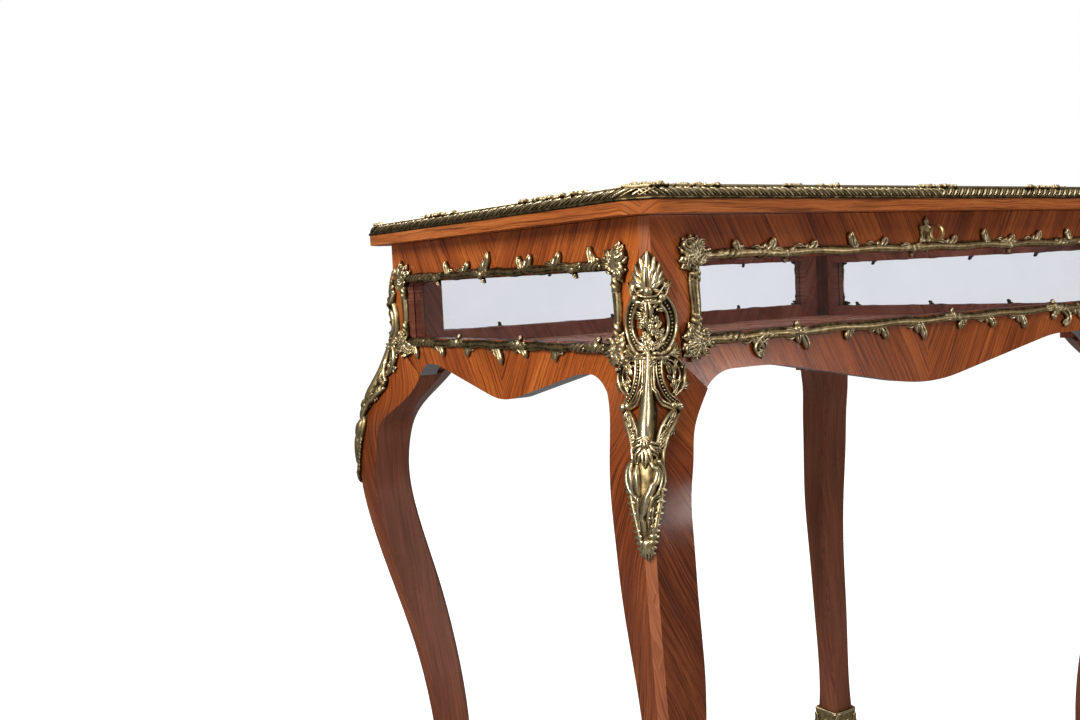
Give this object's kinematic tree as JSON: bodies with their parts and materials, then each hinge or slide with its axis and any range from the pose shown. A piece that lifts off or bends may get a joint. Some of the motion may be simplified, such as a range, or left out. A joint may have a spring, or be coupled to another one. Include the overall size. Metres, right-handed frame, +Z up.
{
  "type": "display table",
  "caption": "Glazed display table on cabriole legs, with a hinged glass lid, shaped aprons and gilt brass mounts.",
  "frame": {"origin": "on the floor, under the middle of the case", "axes": "+Z up, the long front with the lock faces -Y, +X to the right of someone who faces the front"},
  "size_m": [0.7836, 0.5436, 0.7779],
  "materials": {
    "case_veneer": "glossy French-polished veneer, orange-brown with dark streaks, laid on the slant",
    "leg_veneer": "glossy polished veneer in slanting bands that meet at a pale strip on the arris",
    "lid_veneer": "glossy polished veneer, grain along each rail",
    "inner_wood": "plain unpolished carcass wood, dull",
    "floor_veneer": "satin red-brown veneer",
    "gilt_brass": "cast and gilt brass, bright on the high points and dark olive-brown in the hollows",
    "hinge_brass": "plain rolled brass, satin",
    "lock_steel": "filed steel, satin",
    "glass": "clear old glass, very slightly hazy"
  },
  "bodies": {
    "case": {"leg_front_left": "leg_veneer", "knee_mount_front_left": "gilt_brass", "sabot_front_left": "gilt_brass", "leg_front_right": "leg_veneer", "knee_mount_front_right": "gilt_brass", "sabot_front_right": "gilt_brass", "leg_back_left": "leg_veneer", "knee_mount_back_left": "gilt_brass", "sabot_back_left": "gilt_brass", "leg_back_right": "leg_veneer", "knee_mount_back_right": "gilt_brass", "sabot_back_right": "gilt_brass", "knee_mount_screws": "gilt_brass", "frieze_front": "case_veneer", "glass_front": "glass", "glazing_bead_front": "inner_wood", "window_frame_front": "gilt_brass", "frieze_back": "case_veneer", "glass_back": "glass", "glazing_bead_back": "inner_wood", "window_frame_back": "gilt_brass", "frieze_left": "case_veneer", "glass_left": "glass", "glazing_bead_left": "inner_wood", "window_frame_left": "gilt_brass", "frieze_right": "case_veneer", "glass_right": "glass", "glazing_bead_right": "inner_wood", "window_frame_right": "gilt_brass", "frame_pins": "gilt_brass", "case_floor": "inner_wood", "floor_lining": "floor_veneer", "floor_battens": "inner_wood", "corner_blocks": "inner_wood", "hinge_case_leaves": "hinge_brass", "hinge_case_screws": "hinge_brass", "lock_screws": "hinge_brass", "hinge_pins": "lock_steel", "lock_case": "lock_steel", "keyhole_scutcheon": "gilt_brass", "scutcheon_pins": "gilt_brass"},
    "lid": {"lid_rail_front": "lid_veneer", "lid_rail_back": "lid_veneer", "lid_rail_left": "lid_veneer", "lid_rail_right": "lid_veneer", "lid_border_front": "gilt_brass", "lid_border_back": "gilt_brass", "lid_border_left": "gilt_brass", "lid_border_right": "gilt_brass", "lid_glass": "glass", "lid_glass_frame": "gilt_brass", "lid_frame_pins": "gilt_brass", "hinge_lid_leaves": "hinge_brass", "hinge_lid_screws": "hinge_brass", "link_plate": "hinge_brass", "link_plate_screws": "hinge_brass"},
    "lock_bolt": {"lock_bolt": "lock_steel"},
    "key": {"key": "lock_steel"}
  },
  "joints": [
    {"name": "lid_hinge", "type": "hinge", "parent": "case", "child": "lid", "pos_m": [0, 0.237, 0.7482], "axis": [-1, 0, 0], "range_deg": [0, 95]},
    {"name": "key_turn", "type": "hinge", "parent": "case", "child": "key", "pos_m": [0, -0.216, 0.727], "axis": [0, 1, 0], "range_deg": [0, 190]},
    {"name": "bolt_slide", "type": "slide", "parent": "case", "child": "lock_bolt", "axis": [1, 0, 0], "range_m": [0, 0.0055]}
  ],
  "couplings": [
    {"joint": "key_turn", "follows": "bolt_slide", "rad_per_m": 571}
  ]
}
